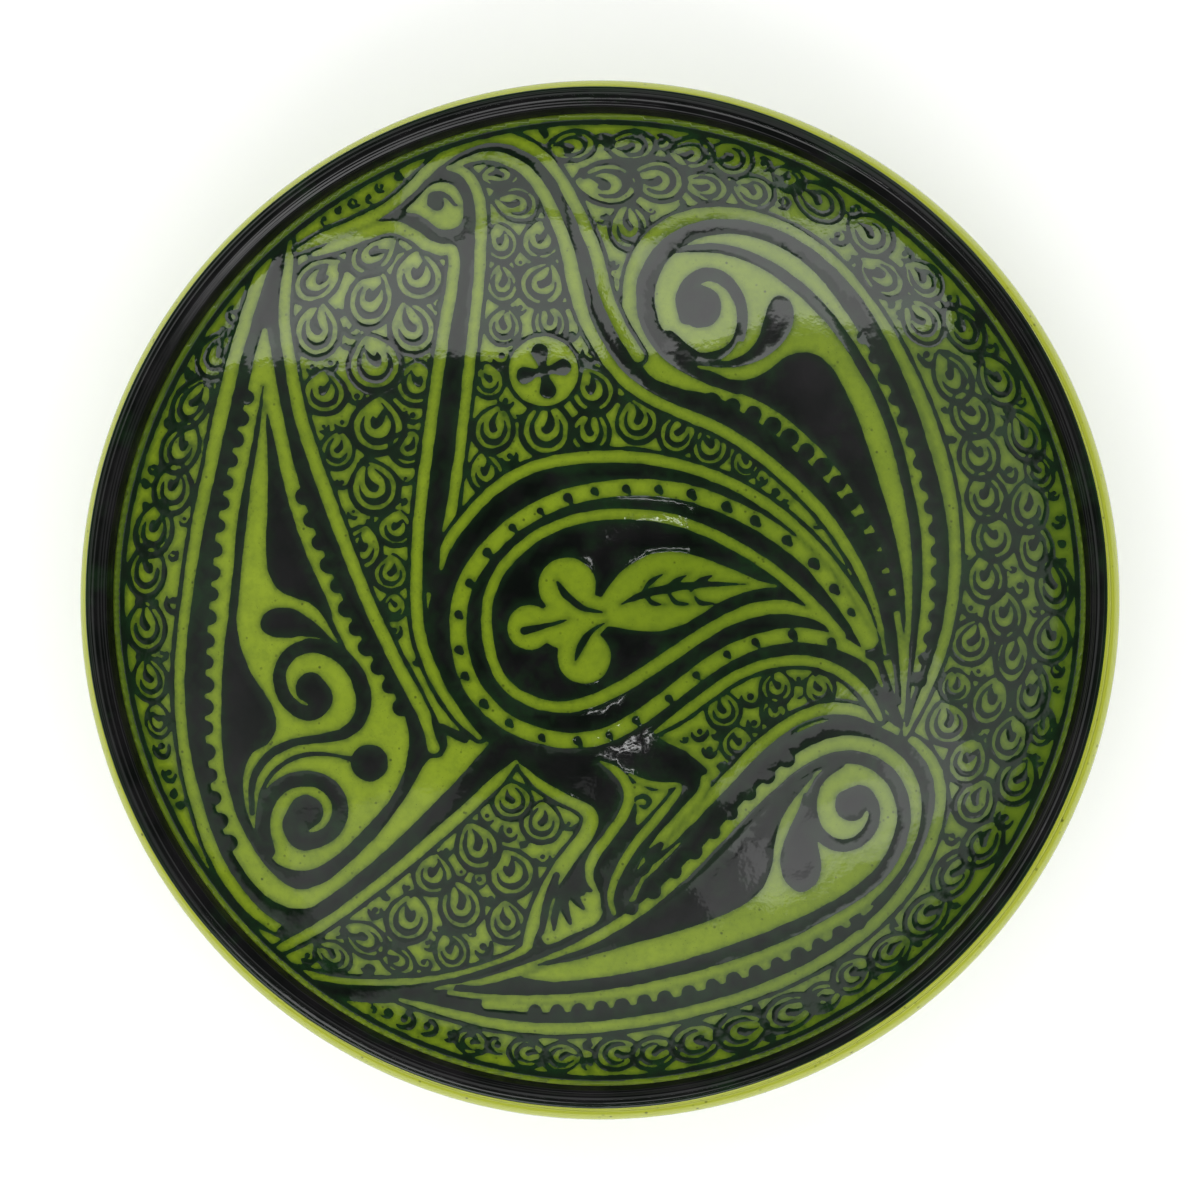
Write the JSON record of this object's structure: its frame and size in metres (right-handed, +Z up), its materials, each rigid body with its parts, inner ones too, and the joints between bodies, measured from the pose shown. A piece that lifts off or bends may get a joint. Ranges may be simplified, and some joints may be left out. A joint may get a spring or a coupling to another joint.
{
  "type": "painted ceramic dish",
  "caption": "Shallow round ceramic dish on a foot ring, painted inside with a bird and scrolling leaves in black slip under green glaze.",
  "frame": {"origin": "middle of the foot ring's flat base", "axes": "+Z up through the middle of the dish, +Y towards the top of the painting, +X towards its right"},
  "size_m": [0.3, 0.3, 0.054],
  "materials": {
    "clay": "bare fired clay, matt, with fine turning lines",
    "black_slip": "black slip under clear glaze, slightly raised brush strokes",
    "green_glaze": "glossy transparent green glaze, darker where it pools, fine dark specks"
  },
  "bodies": {
    "root": {"clay_body": "clay", "foot_ring": "clay", "slip_rim_band": "black_slip", "slip_ring_line": "black_slip", "slip_bird_neck": "black_slip", "slip_bird_back": "black_slip", "slip_bird_body": "black_slip", "slip_body_band": "black_slip", "slip_bird_legs": "black_slip", "slip_left_leaf": "black_slip", "slip_lower_leaf": "black_slip", "slip_upper_scroll": "black_slip", "glaze_inside": "green_glaze", "glaze_outside": "green_glaze"}
  },
  "joints": []
}
